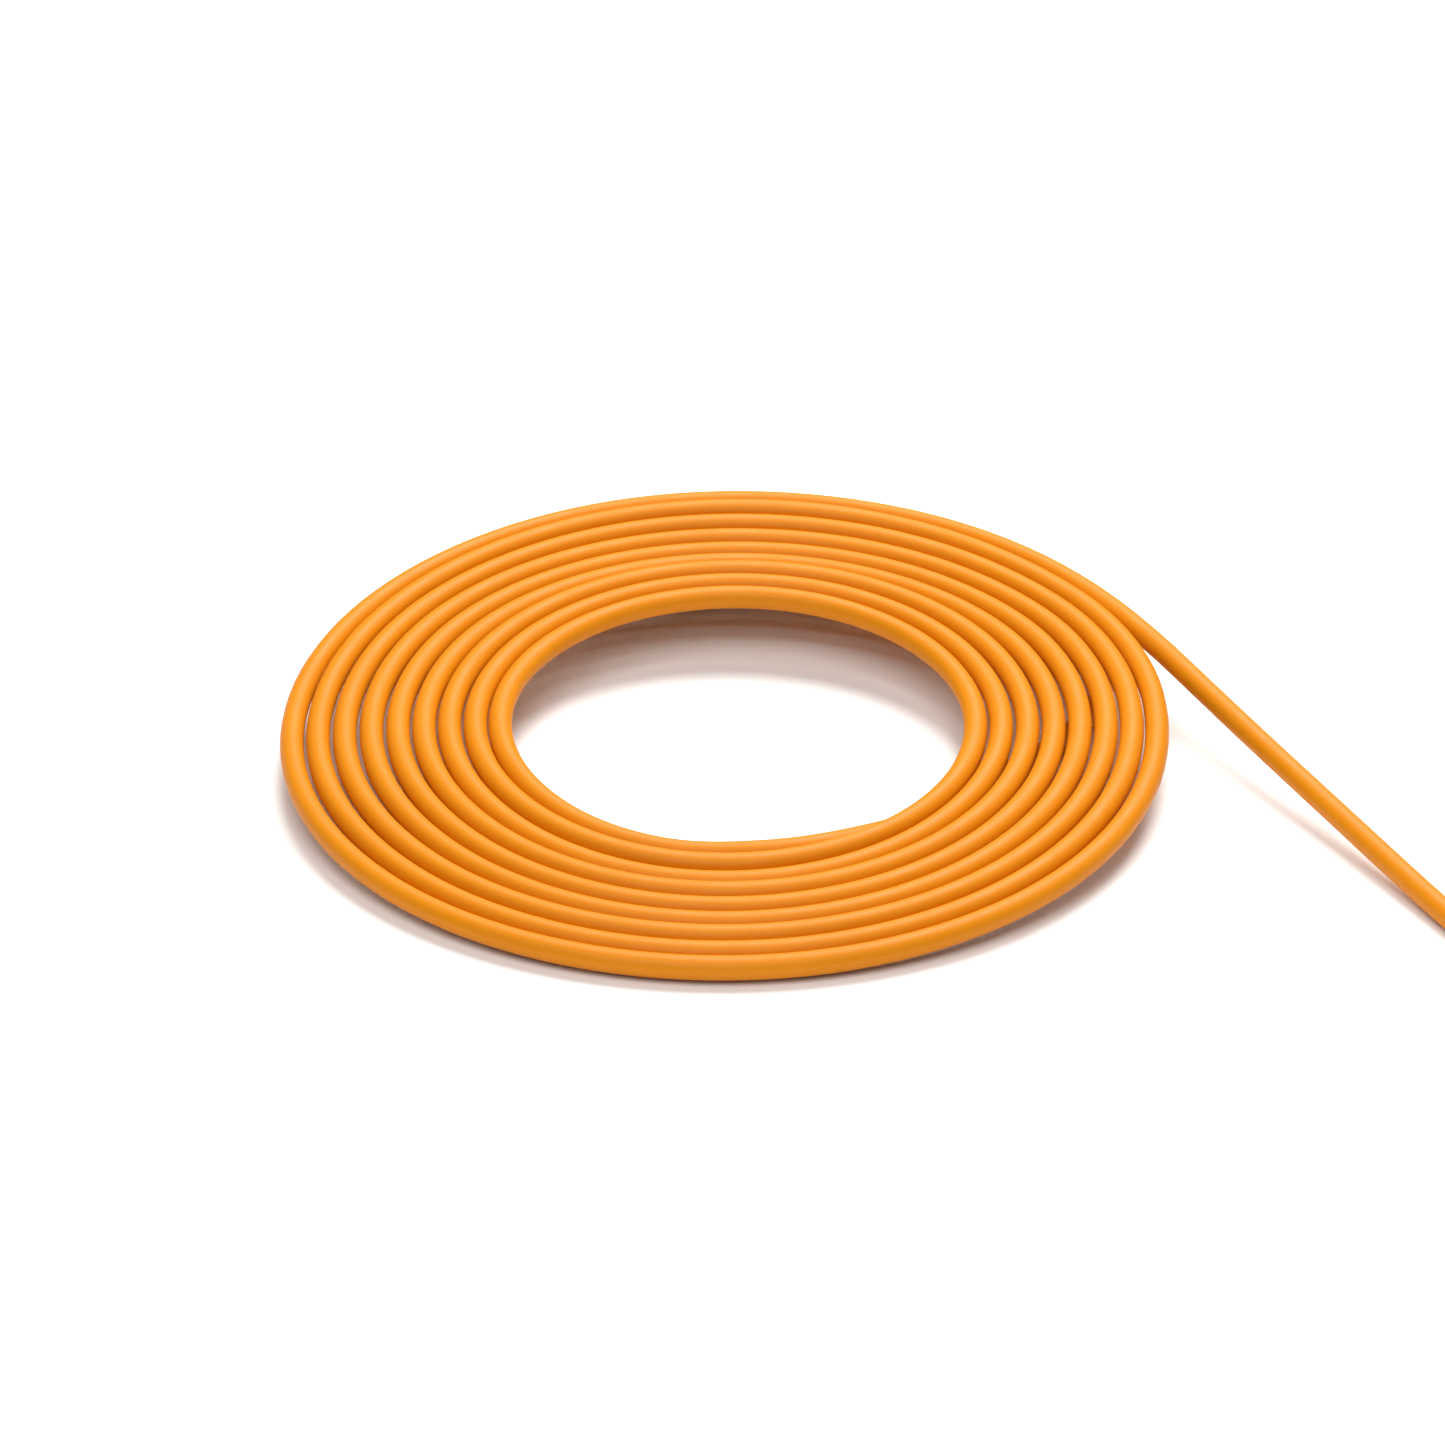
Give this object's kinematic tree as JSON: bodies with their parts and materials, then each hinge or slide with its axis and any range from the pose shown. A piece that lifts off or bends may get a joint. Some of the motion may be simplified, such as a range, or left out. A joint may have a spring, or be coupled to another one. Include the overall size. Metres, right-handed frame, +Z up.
{
  "type": "fiber optic patch cord",
  "caption": "Simplex fibre optic patch cord: orange 2.8 mm jacketed cable in a flat spiral coil, one push-pull square connector on each end, one capped",
  "frame": {"origin": "on the supporting surface, under the middle of the coil with its inner lead and stored connector", "axes": "+Z up, +Y to the back of the coil, +X to the side the cable leaves the coil"},
  "size_m": [0.1811, 0.1148, 0.0118],
  "materials": {
    "jacket": "orange PVC, extruded, satin",
    "housing_plastic": "beige, moulded, semi-gloss",
    "frame_plastic": "ivory, moulded",
    "boot_rubber": "ivory, moulded, soft",
    "cap_plastic": "milky polyethylene",
    "zirconia": "white zirconia ceramic, polished",
    "nickel_plate": "nickel-plated brass, turned",
    "spring_steel": "drawn stainless wire",
    "aramid": "yellow aramid yarn",
    "buffer_coating": "white tight buffer",
    "glass_fibre": "cleaved and polished"
  },
  "bodies": {
    "cable": {"cable_coil": "jacket", "inner_lead": "jacket", "outer_lead": "jacket", "plug_frame_a": "frame_plastic", "rear_body_a": "nickel_plate", "aramid_yarn_a": "aramid", "crimp_sleeve_a": "nickel_plate", "boot_a": "boot_rubber", "spring_a": "spring_steel", "plug_frame_b": "frame_plastic", "rear_body_b": "nickel_plate", "aramid_yarn_b": "aramid", "crimp_sleeve_b": "nickel_plate", "boot_b": "boot_rubber", "spring_b": "spring_steel"},
    "grip_a": {"grip_sleeve_a": "housing_plastic"},
    "ferrule_a": {"ferrule_a": "zirconia", "ferrule_collar_a": "nickel_plate", "bare_fibre_a": "glass_fibre", "buffer_a": "buffer_coating"},
    "grip_b": {"grip_sleeve_b": "housing_plastic"},
    "ferrule_b": {"ferrule_b": "zirconia", "ferrule_collar_b": "nickel_plate", "bare_fibre_b": "glass_fibre", "buffer_b": "buffer_coating"},
    "cap_a": {"dust_cap_a": "cap_plastic"}
  },
  "joints": [
    {"name": "grip_a_pull", "type": "slide", "parent": "cable", "child": "grip_a", "axis": [1, 0, 0], "range_m": [0, 0.0018]},
    {"name": "ferrule_a_retract", "type": "slide", "parent": "cable", "child": "ferrule_a", "axis": [1, 0, 0], "range_m": [0, 0.001], "stiffness_N_per_m": 3000, "springref_m": -0.0022, "deforming": ["spring_a"]},
    {"name": "grip_b_pull", "type": "slide", "parent": "cable", "child": "grip_b", "axis": [0, -1, 0], "range_m": [0, 0.0018]},
    {"name": "ferrule_b_retract", "type": "slide", "parent": "cable", "child": "ferrule_b", "axis": [0, -1, 0], "range_m": [0, 0.001], "stiffness_N_per_m": 3000, "springref_m": -0.0022, "deforming": ["spring_b"]},
    {"name": "cap_a_pull", "type": "slide", "parent": "cable", "child": "cap_a", "axis": [-1, 0, 0], "range_m": [0, 0.013]}
  ]
}
